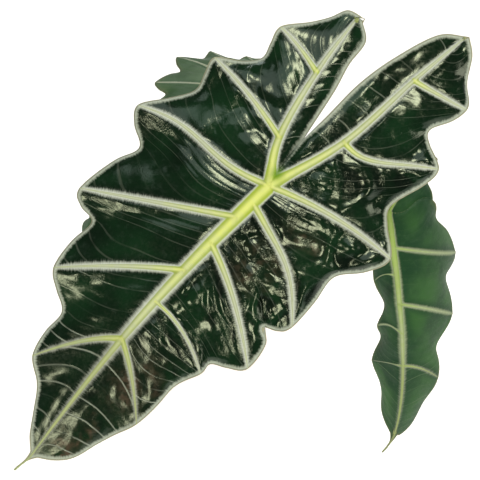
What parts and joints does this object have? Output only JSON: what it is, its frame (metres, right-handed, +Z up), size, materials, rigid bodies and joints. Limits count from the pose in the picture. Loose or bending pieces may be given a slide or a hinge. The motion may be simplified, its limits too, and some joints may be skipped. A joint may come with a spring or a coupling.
{
  "type": "potted alocasia plant",
  "caption": "Potted African mask alocasia: arrow-shaped waved leaves with raised pale ribs on curved stalks, in a round clay pot.",
  "frame": {"origin": "centre of the pot's flat underside, where it stands", "axes": "+Z up the pot's axis; the largest leaf leans forward along -Y, with its tip towards -X and -Y"},
  "size_m": [0.2645, 0.3302, 0.4497],
  "materials": {
    "clay": "unglazed fired clay, matt",
    "potting_soil": "loose damp peat and bark mix, matt",
    "rootstock_bark": "dry papery leaf scars, matt",
    "stalk": "smooth fleshy skin, satin",
    "blade": "thick waxy leaf, glossy, with pale downy ribs"
  },
  "bodies": {
    "root": {"pot": "clay", "soil": "potting_soil", "rootstock": "rootstock_bark", "stalk_front": "stalk", "blade_front": "blade", "stalk_right": "stalk", "blade_right": "blade", "stalk_left": "stalk", "blade_left": "blade", "stalk_back": "stalk", "blade_back": "blade"}
  },
  "joints": []
}
